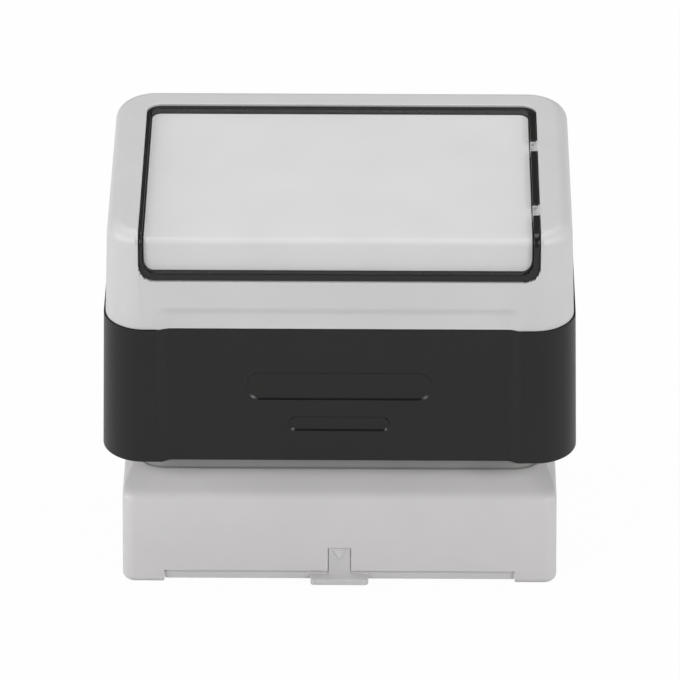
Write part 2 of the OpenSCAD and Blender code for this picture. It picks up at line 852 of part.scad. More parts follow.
module label_tray() {
    deck = tray_sink;
    under = tray_sink + tray_t;
    color([0.12, 0.12, 0.12]) difference() {
        label_trim(-tray_x, tray_x, tray_y, tray_z, 2.35, 2.85) label_layer(rim_sink, under);
        label_trim(
            -tray_x + rim_left,
            tray_x - rim_right,
            tray_y - rim_back,
            tray_z + rim_foot,
            1.8,
            2.2
        ) label_layer(-1, deck);
        // Notches around the cradles of the cover's knuckles.
        for (y = knuckle_ys) block(
            [ear_left - snug, y - ear_half - snug, shell_top - under - 1],
            [tray_x + 1, y + ear_half + snug, shell_top]
        );
    }
}

module label_card() {
    color([0.95, 0.95, 0.94])
        label_trim(cover_left + fit, cover_right - fit, cover_back - fit, cover_foot + fit, 1.6, 2)
            label_layer(card_top, card_top + card_t);
}

module label_cover() {
    color([0.85, 0.86, 0.87, 0.5]) {
        label_trim(cover_left, cover_right, cover_back, cover_foot, 1.7, 2.3)
            label_layer(cover_sink, cover_sink + cover_t);
        for (y = knuckle_ys) {
            translate([knuckle_x, y, knuckle_z]) rotate([90, 0, 0])
                cylinder(r = knuckle_r, h = knuckle_len, center = true);
            // Riser on the cover's edge and the bridge from it to the knuckle.
            block(
                [cover_right - 0.5, y - knuckle_len / 2, shell_top - cover_sink - cover_t / 2],
                [cover_right, y + knuckle_len / 2, knuckle_z + knuckle_r]
            );
            block(
                [cover_right - 0.5, y - knuckle_len / 2, knuckle_z + seat],
                [knuckle_x, y + knuckle_len / 2, knuckle_z + knuckle_r]
            );
        }
    }
}

cap_housing();
base_lid();
seal_pad();
slide_sleeve();
return_spring_front_left();
return_spring_front_right();
return_spring_rear_left();
return_spring_rear_right();
grip_housing();
core_frame();
frame_screws();
handle_shell();
label_tray();
label_card();
label_cover();
pad_holder();
ink_reservoir();
ink_feed_pad();
stamp_face();
clamp_frame();
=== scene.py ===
import json
import math

import bmesh
import bpy
from mathutils import Matrix, Vector


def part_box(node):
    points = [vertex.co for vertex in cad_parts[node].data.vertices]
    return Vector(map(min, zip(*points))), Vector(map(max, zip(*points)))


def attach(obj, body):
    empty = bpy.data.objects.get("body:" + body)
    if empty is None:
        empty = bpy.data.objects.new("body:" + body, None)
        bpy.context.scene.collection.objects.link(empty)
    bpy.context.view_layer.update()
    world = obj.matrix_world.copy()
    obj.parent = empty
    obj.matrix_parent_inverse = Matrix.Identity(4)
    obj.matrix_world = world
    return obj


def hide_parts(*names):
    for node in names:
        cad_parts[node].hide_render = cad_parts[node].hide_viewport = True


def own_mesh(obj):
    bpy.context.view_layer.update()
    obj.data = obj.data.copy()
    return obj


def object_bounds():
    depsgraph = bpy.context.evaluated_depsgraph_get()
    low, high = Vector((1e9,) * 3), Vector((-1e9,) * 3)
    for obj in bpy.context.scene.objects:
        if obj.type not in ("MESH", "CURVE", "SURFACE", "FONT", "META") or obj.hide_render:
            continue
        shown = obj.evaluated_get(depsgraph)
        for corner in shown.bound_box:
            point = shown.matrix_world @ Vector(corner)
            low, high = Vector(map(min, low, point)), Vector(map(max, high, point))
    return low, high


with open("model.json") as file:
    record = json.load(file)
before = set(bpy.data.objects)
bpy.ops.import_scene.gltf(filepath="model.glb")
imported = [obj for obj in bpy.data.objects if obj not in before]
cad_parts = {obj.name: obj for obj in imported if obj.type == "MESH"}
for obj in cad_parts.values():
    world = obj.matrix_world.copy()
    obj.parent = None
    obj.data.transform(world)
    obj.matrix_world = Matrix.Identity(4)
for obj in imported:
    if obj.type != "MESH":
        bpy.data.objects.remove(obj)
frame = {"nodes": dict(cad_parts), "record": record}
cad_low, cad_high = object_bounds()

# ---- Camera, light and floor ----
# A long lens looks down at the front from thirty degrees. Five softboxes stand round the stamp
# in a pale studio, and the floor is a white sheet that keeps the contact shadow.
mm = 0.001
scene = bpy.context.scene
scene.view_settings.view_transform = "Standard"

view_rise = math.radians(30.0)
view_turn = math.radians(0.5)
view_distance = 1.0417
view_target = Vector((-0.12, 0.0, 32.65)) * mm
view_back = Vector((
    math.sin(view_turn) * math.cos(view_rise),
    -math.cos(view_turn) * math.cos(view_rise),
    math.sin(view_rise),
))
lens = bpy.data.cameras.new("camera")
lens.sensor_width = 36.0
lens.lens = 329.8
lens.clip_end = 10.0
camera = bpy.data.objects.new("camera", lens)
camera.location = view_target + view_back * view_distance
camera.rotation_euler = view_back.to_track_quat("Z", "Y").to_euler()
scene.collection.objects.link(camera)
scene.camera = camera


def softbox(name, place, size, power):
    """One square lamp, in metres and watts, that faces the middle of the stamp."""
    light = bpy.data.lights.new(name, "AREA")
    light.shape = "RECTANGLE"
    light.size, light.size_y = size
    light.energy = power
    box = bpy.data.objects.new(name, light)
    box.location = place
    facing = Vector(place) - Vector((0.0, 0.0, cad_high[2] / 2))
    box.rotation_euler = facing.to_track_quat("Z", "Y").to_euler()
    scene.collection.objects.link(box)


softbox("overhead_softbox", (0.0, 0.30, 1.0), (1.0, 0.7), 5.6)
softbox("left_key", (-0.75, -0.75, 0.64), (0.35, 0.35), 4.4)
softbox("right_key", (0.75, -0.75, 0.64), (0.35, 0.35), 5.6)
softbox("left_softbox", (-1.1, -0.10, 0.33), (0.5, 0.4), 4.5)
softbox("right_softbox", (1.1, -0.10, 0.33), (0.5, 0.4), 2.0)

ambient_level = 0.1
world = bpy.data.worlds.new("studio")
world.use_nodes = True
scene.world = world
nodes, links = world.node_tree.nodes, world.node_tree.links
nodes.clear()
path = nodes.new("ShaderNodeLightPath")
seen = nodes.new("ShaderNodeMath")
seen.operation = "MAXIMUM"
ambient = nodes.new("ShaderNodeBackground")
ambient.inputs["Color"].default_value = (0.97, 0.985, 1.0, 1.0)
ambient.inputs["Strength"].default_value = ambient_level
backdrop = nodes.new("ShaderNodeBackground")
backdrop.inputs["Color"].default_value = (1.0, 1.0, 1.0, 1.0)
choose = nodes.new("ShaderNodeMixShader")
world_out = nodes.new("ShaderNodeOutputWorld")
links.new(path.outputs["Is Camera Ray"], seen.inputs[0])
links.new(path.outputs["Is Transmission Ray"], seen.inputs[1])
links.new(seen.outputs[0], choose.inputs[0])
links.new(ambient.outputs[0], choose.inputs[1])
links.new(backdrop.outputs[0], choose.inputs[2])
links.new(choose.outputs[0], world_out.inputs["Surface"])

floor_veil = 0.97
floor_half = 1.5
floor_drop = 0.02 * mm
mesh = bmesh.new()
bmesh.ops.create_grid(mesh, x_segments=1, y_segments=1, size=floor_half)
bmesh.ops.translate(mesh, vec=(0.0, 0.0, -floor_drop), verts=mesh.verts)
floor_mesh = bpy.data.meshes.new("floor")
mesh.to_mesh(floor_mesh)
mesh.free()
floor = bpy.data.objects.new("floor", floor_mesh)
scene.collection.objects.link(floor)
floor_finish = bpy.data.materials.new("floor_paper")
floor_finish.use_nodes = True
nodes, links = floor_finish.node_tree.nodes, floor_finish.node_tree.links
nodes.clear()
path = nodes.new("ShaderNodeLightPath")
veil = nodes.new("ShaderNodeMath")
veil.operation = "MULTIPLY"
veil.inputs[1].default_value = floor_veil
paper = nodes.new("ShaderNodeBsdfDiffuse")
paper.inputs["Color"].default_value = (0.8, 0.8, 0.8, 1.0)
glow = nodes.new("ShaderNodeEmission")
glow.inputs["Color"].default_value = (1.0, 1.0, 1.0, 1.0)
blend = nodes.new("ShaderNodeMixShader")
floor_out = nodes.new("ShaderNodeOutputMaterial")
links.new(path.outputs["Is Camera Ray"], veil.inputs[0])
links.new(veil.outputs[0], blend.inputs[0])
links.new(paper.outputs[0], blend.inputs[1])
links.new(glow.outputs[0], blend.inputs[2])
links.new(blend.outputs[0], floor_out.inputs["Surface"])
floor_mesh.materials.append(floor_finish)

# ---- Cap ----
# The cap is one moulding of white polystyrene, open at the top for the sleeve and below for
# the base lid. It stands on four corner feet, and ribs inside keep the sleeve upright.
mould_soft = 0.2 * mm

# Heights that differ by less than a hair count as the same.
hair = 1e-7


def rounded(mesh, parts, radius, steps, affect="EDGES"):
    """Rounds the given edges, or the given corners of a flat sheet."""
    bmesh.ops.bevel(
        mesh, geom=parts, offset=radius, segments=steps, profile=0.5,
        affect=affect, offset_type="OFFSET", material=-1,
    )


def level_edges(mesh, level):
    """The edges that lie flat at one height."""
    return [e for e in mesh.edges if all(abs(v.co.z - level) < hair for v in e.verts)]


def stacked_rings(rings, steps=12):
    """Solid skinned over rounded rectangles, each half width, half depth, corner and height."""
    mesh = bmesh.new()
    loops = []
    for half_x, half_y, corner, level in rings:
        sheet = bmesh.ops.create_grid(mesh, x_segments=1, y_segments=1, size=1.0)["verts"]
        bmesh.ops.scale(mesh, vec=(half_x, half_y, 1.0), verts=sheet)
        bmesh.ops.translate(mesh, vec=(0.0, 0.0, level), verts=sheet)
        rounded(mesh, sheet, corner, steps, affect="VERTICES")
        loops.append(level_edges(mesh, level))
    levels = [ring[3] for ring in rings]
    lowest, highest = min(levels) + hair, max(levels) - hair
    inner = [f for f in mesh.faces if lowest < f.calc_center_median().z < highest]
    bmesh.ops.delete(mesh, geom=inner, context="FACES_ONLY")
    for below, above in zip(loops, loops[1:]):
        bmesh.ops.bridge_loops(mesh, edges=below + above)
    return mesh


def blended(start, bend, end, steps=6):
    """Rings along a soft bend from one ring to another; the bend is the sharp ring between."""
    rings = []
    for step in range(steps + 1):
        t = step / steps
        weights = ((1 - t) ** 2, 2 * t * (1 - t), t ** 2)
        rings.append(tuple(
            sum(weight * value for weight, value in zip(weights, values))
            for values in zip(start, bend, end)
        ))
    return rings


def moulded_block(low, high, corner=0.0, top=0.0, bottom=0.0, lean=0.0, steps=12, edge_steps=6):
    """Block between two corners, in metres, with round upright corners and round top and
    bottom edges. Its walls lean inwards by lean towards the top."""
    mesh = bmesh.new()
    bmesh.ops.create_cube(mesh, size=1.0)
    low, high = Vector(low), Vector(high)
    middle, size = (low + high) / 2, high - low
    bmesh.ops.scale(mesh, vec=size, verts=mesh.verts)
    bmesh.ops.translate(mesh, vec=middle, verts=mesh.verts)
    if lean:
        upper = [v for v in mesh.verts if v.co.z > middle.z]
        shrink = (1 - 2 * lean / size.x, 1 - 2 * lean / size.y, 1.0)
        bmesh.ops.scale(mesh, vec=shrink, space=Matrix.Translation(-middle), verts=upper)
    if corner:
        upright = [e for e in mesh.edges if abs(e.verts[0].co.z - e.verts[1].co.z) > size.z / 2]
        rounded(mesh, upright, corner, steps)
    if top:
        rounded(mesh, level_edges(mesh, high.z), top, edge_steps)
    if bottom:
        rounded(mesh, level_edges(mesh, low.z), bottom, edge_steps)
    return mesh


def rod(radius, length, centre, axis="X", steps=40):
    """Round rod along an axis, centred on a point."""
    mesh = bmesh.new()
    bmesh.ops.create_cone(
        mesh, cap_ends=True, segments=steps, radius1=radius, radius2=radius, depth=length
    )
    turn = {"X": Matrix.Rotation(math.pi / 2, 3, "Y"), "Y": Matrix.Rotation(math.pi / 2, 3, "X")}
    if axis in turn:
        bmesh.ops.rotate(mesh, matrix=turn[axis], verts=mesh.verts)
    bmesh.ops.translate(mesh, vec=centre, verts=mesh.verts)
    return mesh


def as_object(mesh, name):
    """The bmesh as an object of the scene, with its faces pointing outwards."""
    bmesh.ops.recalc_face_normals(mesh, faces=mesh.faces)
    data = bpy.data.meshes.new(name)
    mesh.to_mesh(data)
    mesh.free()
    piece = bpy.data.objects.new(name, data)
    scene.collection.objects.link(piece)
    return piece


def settle(piece):
    """Makes the piece's modifiers part of its mesh."""
    bpy.context.view_layer.update()
    graph = bpy.context.evaluated_depsgraph_get()
    done = bpy.data.meshes.new_from_object(piece.evaluated_get(graph))
    piece.modifiers.clear()
    old, piece.data = piece.data, done
    bpy.data.meshes.remove(old)


def shape_with(piece, mesh, way="DIFFERENCE"):
    """Cuts the piece with another solid, joins it on, or keeps what they share."""
    tool = as_object(mesh, "tool")
    step = piece.modifiers.new("step", "BOOLEAN")
    step.object = tool
    step.operation = way
    step.solver = "EXACT"
    settle(piece)
    bpy.data.objects.remove(tool)


def carved(mesh, tool, way="DIFFERENCE"):
    """A loose solid shaped by another, ready to be a tool itself."""
    blank = as_object(mesh, "blank")
    shape_with(blank, tool, way)
    result = bmesh.new()
    result.from_mesh(blank.data)
    bpy.data.objects.remove(blank)
    return result


def round_edges(piece, radius, steps=3, angle=24.0):
    """Rounds every crisp edge a little, as a mould leaves it."""
    merge_within = 0.002 * mm
    flat_within = math.radians(0.4)
    mesh = bmesh.new()
    mesh.from_mesh(piece.data)
    bmesh.ops.remove_doubles(mesh, verts=mesh.verts, dist=merge_within)
    bmesh.ops.dissolve_limit(
        mesh, angle_limit=flat_within, verts=mesh.verts, edges=mesh.edges,
        use_dissolve_boundaries=False,
    )
    mesh.to_mesh(piece.data)
    mesh.free()
    step = piece.modifiers.new("soft_edges", "BEVEL")
    step.width = radius
    step.segments = steps
    step.limit_method = "ANGLE"
    step.angle_limit = math.radians(angle)
    step.use_clamp_overlap = False
    step.miter_outer = "MITER_ARC"
    settle(piece)


def set_shading(piece, angle=24.0):
    """Smooth shading that keeps flat faces flat and leaves the sharpest edges crisp."""
    piece.data.shade_smooth()
    piece.data.set_sharp_from_angle(angle=math.radians(angle))
    step = piece.modifiers.new("flat_faces", "WEIGHTED_NORMAL")
    step.keep_sharp = True
    settle(piece)


def plastic(name, colour, rough, grain=0.05, grain_size=2600.0, mottle=0.02, ior=1.5):
    """Moulded plastic with the fine grain of its mould and a faint cloudiness."""
    rough_spread = 0.05
    finish = bpy.data.materials.new(name)
    finish.use_nodes = True
    nodes, links = finish.node_tree.nodes, finish.node_tree.links
    shader = nodes["Principled BSDF"]
    shader.inputs["IOR"].default_value = ior
    place = nodes.new("ShaderNodeTexCoord")
    cloud = nodes.new("ShaderNodeTexNoise")
    cloud.inputs["Scale"].default_value = 90.0
    cloud.inputs["Detail"].default_value = 3.0
    tone = nodes.new("ShaderNodeValToRGB")
    tone.color_ramp.elements[0].position = 0.3
    tone.color_ramp.elements[1].position = 0.7
    tone.color_ramp.elements[0].color = (*[c * (1 - mottle) for c in colour], 1.0)
    tone.color_ramp.elements[1].color = (*[min(1.0, c * (1 + mottle)) for c in colour], 1.0)
    speck = nodes.new("ShaderNodeTexNoise")
    speck.inputs["Scale"].default_value = grain_size
    speck.inputs["Detail"].default_value = 2.0
    spread = nodes.new("ShaderNodeMapRange")
    spread.inputs["To Min"].default_value = rough - rough_spread
    spread.inputs["To Max"].default_value = rough + rough_spread
    bump = nodes.new("ShaderNodeBump")
    bump.inputs["Strength"].default_value = grain
    bump.inputs["Distance"].default_value = 0.05 * mm
    links.new(place.outputs["Object"], cloud.inputs["Vector"])
    links.new(cloud.outputs["Fac"], tone.inputs["Fac"])
    links.new(tone.outputs["Color"], shader.inputs["Base Color"])
    links.new(place.outputs["Object"], speck.inputs["Vector"])
    links.new(speck.outputs["Fac"], spread.inputs["Value"])
    links.new(spread.outputs["Result"], shader.inputs["Roughness"])
    links.new(speck.outputs["Fac"], bump.inputs["Height"])
    links.new(bump.outputs["Normal"], shader.inputs["Normal"])
    return finish


def wear(piece, finish):
    """Gives a piece its one material."""
    piece.data.materials.clear()
    piece.data.materials.append(finish)


def dress(piece, finish, body, slot, *stands_for):
    """Gives a finished piece its material and the body that it moves with, and hides the CAD nodes that
    it stands for.
    """
    wear(piece, finish)
    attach(piece, body)
    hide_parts(*stands_for)


cap_low, cap_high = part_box("cap_housing")
sleeve_low, sleeve_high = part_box("slide_sleeve")
joints = {joint["name"]: joint for joint in frame["record"]["behaviour"]["joints"]}
deck_rise = 2.7 * mm
cap_edge = cap_high.z - deck_rise
cap_wall = 1.5 * mm
cap_lean = 0.2 * mm
cap_corner = 2.1 * mm
shoulder_round = 1.1 * mm
shoulder_share = 0.27
foot_size = 7.0 * mm
foot_height = 2.55 * mm
foot_round = 1.2 * mm
foot_soft = 0.9 * mm
sleeve_x = 33.5 * mm
sleeve_y = 19.3 * mm
sleeve_corner = 5.0 * mm
run_gap = 0.3 * mm
neck_x = sleeve_x + run_gap
neck_y = sleeve_y + run_gap
neck_corner = sleeve_corner + run_gap
neck_rim = 0.1 * mm
beyond = 10 * mm
overlap = 0.2 * mm

foot_ring = (cap_high.x, cap_high.y, cap_corner, 0.0)
edge_ring = (cap_high.x - cap_lean, cap_high.y - cap_lean, cap_corner, cap_edge)
neck_ring = (neck_x + neck_rim, neck_y + neck_rim, neck_corner + neck_rim, cap_high.z)
below_edge = tuple(e + (f - e) * shoulder_round / cap_edge for e, f in zip(edge_ring, foot_ring))
beside_edge = tuple(e + (n - e) * shoulder_share for e, n in zip(edge_ring, neck_ring))
mesh = stacked_rings([foot_ring, *blended(below_edge, edge_ring, beside_edge), neck_ring])
rounded(mesh, level_edges(mesh, 0.0), foot_round, 6)
cap = as_object(mesh, "cap_moulding")
inside = cap_lean + cap_wall
shape_with(cap, stacked_rings([
    (cap_high.x - cap_wall, cap_high.y - cap_wall, cap_corner - cap_wall, foot_height - overlap),
    (cap_high.x - inside, cap_high.y - inside, cap_corner - cap_wall, cap_edge - cap_wall),
    (sleeve_x, sleeve_y, sleeve_corner, cap_high.z - cap_wall),
], steps=8))
rib_half = 0.6 * mm
long_side_ribs = (-24 * mm, -8 * mm, 8 * mm, 24 * mm)
short_side_ribs = (-12 * mm, 12 * mm)
rib_clear = 1 * mm
rib_low = sleeve_low.z + rib_clear
rib_high = cap_edge - cap_wall / 2
for side in (-1, 1):
    near, wall = sorted((side * neck_y, side * (cap_high.y - cap_wall / 2)))
    for x in long_side_ribs:
        rib = moulded_block((x - rib_half, near, rib_low), (x + rib_half, wall, rib_high))
        shape_with(cap, rib, "UNION")
    near, wall = sorted((side * neck_x, side * (cap_high.x - cap_wall / 2)))
    for y in short_side_ribs:
        rib = moulded_block((near, y - rib_half, rib_low), (wall, y + rib_half, rib_high))
        shape_with(cap, rib, "UNION")
shape_with(cap, moulded_block(
    (-neck_x, -neck_y, foot_height), (neck_x, neck_y, cap_high.z + beyond), corner=neck_corner,
))
round_edges(cap, mould_soft)

# All that lies lower than foot_height goes, except the four feet.
foot_x = cap_high.x - foot_size
foot_y = cap_high.y - foot_size
foot_corner = foot_soft + 0.1 * mm
foot_below = 0.03 * mm
foot_above = 0.5 * mm
wide = 100 * mm
away = moulded_block((-wide, -wide, -beyond), (wide, wide, foot_height))
for x_side in (-1, 1):
    for y_side in (-1, 1):
        x_run = sorted((x_side * foot_x, x_side * (cap_high.x + beyond)))
        y_run = sorted((y_side * foot_y, y_side * (cap_high.y + beyond)))
        away = carved(away, moulded_block(
            (x_run[0], y_run[0], -foot_below), (x_run[1], y_run[1], foot_height + foot_above),
            corner=foot_corner, bottom=foot_soft, steps=5,
        ))
shape_with(cap, away)
lid_low, lid_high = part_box("base_lid")
tongue_half = 1.85 * mm
notch_side_gap = 0.06 * mm
notch_top_gap = 0.12 * mm
notch_chamfer = 0.2 * mm
notch_half = tongue_half + notch_side_gap
notch_top = lid_high.z + notch_top_gap
shape_with(cap, moulded_block(
    (-notch_half, cap_low.y - beyond, -beyond), (notch_half, cap_low.y + 2 * cap_wall, notch_top),
))

# The flare chamfers the notch's outer edges.
flare = moulded_block(
    (-notch_half, cap_low.y - notch_chamfer, -beyond), (notch_half, cap_low.y + notch_chamfer, notch_top)
)
for v in flare.verts:
    if v.co.y < cap_low.y:
        v.co.x += math.copysign(2 * notch_chamfer, v.co.x)
        v.co.z += 2 * notch_chamfer
shape_with(cap, flare)
lid_axis = Vector(joints["lid_hinge"]["pos_m"])
trunnion = 0.6 * mm
bore_gap = 0.05 * mm
bore_long = 4.8 * mm
for side in (-1, 1):
    shape_with(cap, rod(trunnion + bore_gap, bore_long, (side * foot_x, lid_axis.y, lid_axis.z)))
set_shading(cap)
cap_finish = plastic("cap_plastic", (0.665, 0.65, 0.65), 0.42)
dress(cap, cap_finish, "cap", "cap_white", "cap_housing")

# ---- Base lid ----
# The base lid swings on two trunnions in the rear feet. It is moulded in the same plastic, with
# a latch tongue that snaps into the cap's front wall and a lip for the thumb.
lid_half = 35.4 * mm
lid_thick = 1.8 * mm
lid_under = lid_low.z
lid_top = lid_under + lid_thick
lid_set_back = 0.65 * mm
lid_front = cap_low.y + lid_set_back
lid_gap = 0.08 * mm
lid = as_object(moulded_block(
    (-lid_half, lid_front, lid_under), (lid_half, lid_axis.y, lid_top)
), "base_lid_plate")
for x_range in ((-beyond * 5, lid_gap - foot_x), (foot_x - lid_gap, beyond * 5)):
    for y_range in ((-beyond * 5, lid_gap - foot_y), (foot_y - lid_gap, beyond * 5)):
        shape_with(lid, moulded_block(
            (x_range[0], y_range[0], -beyond), (x_range[1], y_range[1], beyond)
        ))
lip_half = 4.8 * mm
lip_thick = 1.05 * mm
lip_corner = 0.6 * mm
lip_root = 1 * mm
shape_with(lid, moulded_block(
    (-lip_half, lid_low.y, lid_under), (lip_half, lid_front + lip_root, lid_under + lip_thick),
    corner=lip_corner, steps=6,
), "UNION")
tongue_proud = 0.3 * mm
tongue_raised = 0.3 * mm
tongue_thick = 1 * mm
tongue_front = lid_front - tongue_proud
shape_with(lid, moulded_block(
    (-tongue_half, tongue_front, lid_under + tongue_raised),
    (tongue_half, tongue_front + tongue_thick, lid_high.z),
), "UNION")
latch_half = 1.05 * mm
latch_high = 2.0 * mm
latch_out = 0.35 * mm
latch_root = 0.1 * mm
latch_below = 0.25 * mm
triangle_half = math.sin(math.radians(60))
triangle_high = 1.5
latch = bmesh.new()
bmesh.ops.create_circle(latch, cap_ends=True, segments=3, radius=1.0)
bmesh.ops.rotate(latch, matrix=Matrix.Rotation(math.pi, 3, "Z"), verts=latch.verts)
bmesh.ops.rotate(latch, matrix=Matrix.Rotation(math.pi / 2, 3, "X"), verts=latch.verts)
latch_scale = (latch_half / triangle_half, 1.0, latch_high / triangle_high)
bmesh.ops.scale(latch, vec=latch_scale, verts=latch.verts)
latch_lift = lid_high.z - latch_below - max(v.co.z for v in latch.verts)
bmesh.ops.translate(latch, vec=(0.0, tongue_front + latch_root, latch_lift), verts=latch.verts)
grown = bmesh.ops.extrude_face_region(latch, geom=latch.faces[:])["geom"]
outer_end = [v for v in grown if isinstance(v, bmesh.types.BMVert)]
bmesh.ops.translate(latch, vec=(0.0, -latch_out, 0.0), verts=outer_end)
shape_with(lid, latch, "UNION")
barrel = lid_thick / 2
trunnion_long = 1.9 * mm
shape_with(lid, rod(barrel, 2 * (foot_x - lid_gap), lid_axis), "UNION")
shape_with(lid, rod(trunnion, 2 * (foot_x + trunnion_long), lid_axis), "UNION")
round_edges(lid, 0.12 * mm)
set_shading(lid)
lid_finish = plastic("lid_plastic", (0.64, 0.63, 0.63), 0.45)
dress(lid, lid_finish, "lid", "lid_white", "base_lid")

# ---- Seal pad ----
# A thin sheet of closed-cell foam, cut to size and glued to the lid. It closes the sleeve's
# mouth, so that the face doesn't dry out.
seal_finish = plastic("seal_foam", (0.045, 0.045, 0.048), 0.8, grain=0.5, grain_size=1500.0)
wear(frame["nodes"]["seal_pad"], seal_finish)

# ---- Slide sleeve ----
# The sleeve is a thin tube that touches the paper and guides the ink cell. A flange holds it in the
# grip, and posts on the flange carry the springs.
# Its grey is partly painted shade: it is set darker than the white parts so that the strip seen under
# the grip is as dark as the shade there.
grip_low, grip_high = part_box("grip_housing")
sleeve_wall = 1.2 * mm
flange_up = 1.7 * mm
flange_thick = 1.6 * mm
flange_corner = 4 * mm
flange_low = grip_low.z + flange_up
flange_high = flange_low + flange_thick
sleeve = as_object(moulded_block(
    (-sleeve_x, -sleeve_y, sleeve_low.z), (sleeve_x, sleeve_y, sleeve_high.z), corner=sleeve_corner,
), "sleeve_tube")
shape_with(sleeve, moulded_block(
    (sleeve_low.x, sleeve_low.y, flange_low), (sleeve_high.x, sleeve_high.y, flange_high),
    corner=flange_corner, steps=10,
), "UNION")
screw_x = 14 * mm
boss_notch = 2.1 * mm
notch_spare = 1 * mm
off_wall = 0.02 * mm
spring_x = 31.0 * mm
spring_y = 21.75 * mm
post_radius = 1.2 * mm
post_long = 5.4 * mm
post_root = 0.5 * mm
post_middle = flange_high + post_long / 2 - post_root
for x_side in (-1, 1):
    for y_side in (-1, 1):
        x = x_side * screw_x
        near, far = sorted((y_side * (sleeve_y + off_wall), y_side * 4 * beyond))
        shape_with(sleeve, moulded_block(
            (x - boss_notch, near, flange_low - notch_spare),
            (x + boss_notch, far, flange_high + notch_spare),
        ))
        shape_with(sleeve, rod(
            post_radius, post_long, (x_side * spring_x, y_side * spring_y, post_middle), "Z",
        ), "UNION")
shape_with(sleeve, moulded_block(
    (sleeve_wall - sleeve_x, sleeve_wall - sleeve_y, -beyond),
    (sleeve_x - sleeve_wall, sleeve_y - sleeve_wall, sleeve_high.z + beyond),
    corner=sleeve_corner - sleeve_wall,
))
round_edges(sleeve, mould_soft)
set_shading(sleeve)
# Painted shade: this grey is darker than the white plastics so that the sleeve strip under the grip
# looks shaded, on top of the lamps' real shade.
sleeve_finish_painted_shade = plastic("sleeve_plastic_painted_shade", (0.41, 0.41, 0.405), 0.42)
dress(sleeve, sleeve_finish_painted_shade, "sleeve", "sleeve_grey", "slide_sleeve")

# ---- Return springs ----
# Four compression springs coiled from bright spring steel wire. They stand on the sleeve's
# posts and push the handle up after each print.
spring_steel = bpy.data.materials.new("spring_steel")
spring_steel.use_nodes = True
nodes, links = spring_steel.node_tree.nodes, spring_steel.node_tree.links
steel = nodes["Principled BSDF"]
steel.inputs["Base Color"].default_value = (0.55, 0.56, 0.58, 1.0)
steel.inputs["Metallic"].default_value = 1.0
place = nodes.new("ShaderNodeTexCoord")
draw_marks = nodes.new("ShaderNodeTexNoise")
draw_marks.inputs["Scale"].default_value = 1200.0
shine = nodes.new("ShaderNodeMapRange")
shine.inputs["To Min"].default_value = 0.2
shine.inputs["To Max"].default_value = 0.36
links.new(place.outputs["Object"], draw_marks.inputs["Vector"])
links.new(draw_marks.outputs["Fac"], shine.inputs["Value"])
links.new(shine.outputs["Result"], steel.inputs["Roughness"])
for name, node in frame["nodes"].items():
    if name.startswith("return_spring"):
        wear(node, spring_steel)
        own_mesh(node)

# ---- Grip housing ----
# The black band that the fingers hold, moulded in grained ABS. A shallow recess runs across its
# front and back and on up into the white shell.
grip_lean = 0.5 * mm
grip_corner = 6.9 * mm
grip_wall = 1.5 * mm
grip_floor = 1.6 * mm
recess_deep = 1.0 * mm
recess_half = 27.4 * mm
recess_side = 2.6 * mm
skim = 0.01 * mm
spare = 1 * mm


def soft_step(share):
    """Zero to one along an S curve."""
    share = min(1.0, max(0.0, share))
    return share * share * (3 - 2 * share)


def finger_recess(front, foot, head, lean, deep, run_out=0.0):
    """Slab that cuts a soft-sided finger recess in a leaning front wall, from the wall's foot to
    its head. With run_out the recess fades away below the head over that height."""
    reach = recess_half + recess_side + spare / 2
    lowest = foot - spare
    highest = head if run_out else head + 2 * spare
    tool = bmesh.new()
    bmesh.ops.create_grid(tool, x_segments=48, y_segments=16 if run_out else 1, size=1.0)
    for v in tool.verts:
        across, up = abs(v.co.x), (v.co.y + 1) / 2
        if across < 1 / 3:
            x = recess_half * across * 3
        else:
            x = recess_half + (reach - recess_half) * (across * 3 - 1) / 2
        z = lowest + (highest - lowest) * up
        share = soft_step((recess_half + recess_side - x) / recess_side)
        if run_out:
            share *= soft_step((head - z) / run_out)
        y = front + lean * (z - foot) / (head - foot) + (deep + skim) * share - skim
        v.co = (math.copysign(x, v.co.x), y, z)
    grown = bmesh.ops.extrude_face_region(tool, geom=tool.faces[:])["geom"]
    outside = [v for v in grown if isinstance(v, bmesh.types.BMVert)]
    for v in outside:
        v.co.y = front - 3 * spare
    return tool


def turned_back(mesh):
    """The same shape on the back wall."""
    bmesh.ops.rotate(mesh, matrix=Matrix.Rotation(math.pi, 3, "Z"), verts=mesh.verts)
    return mesh


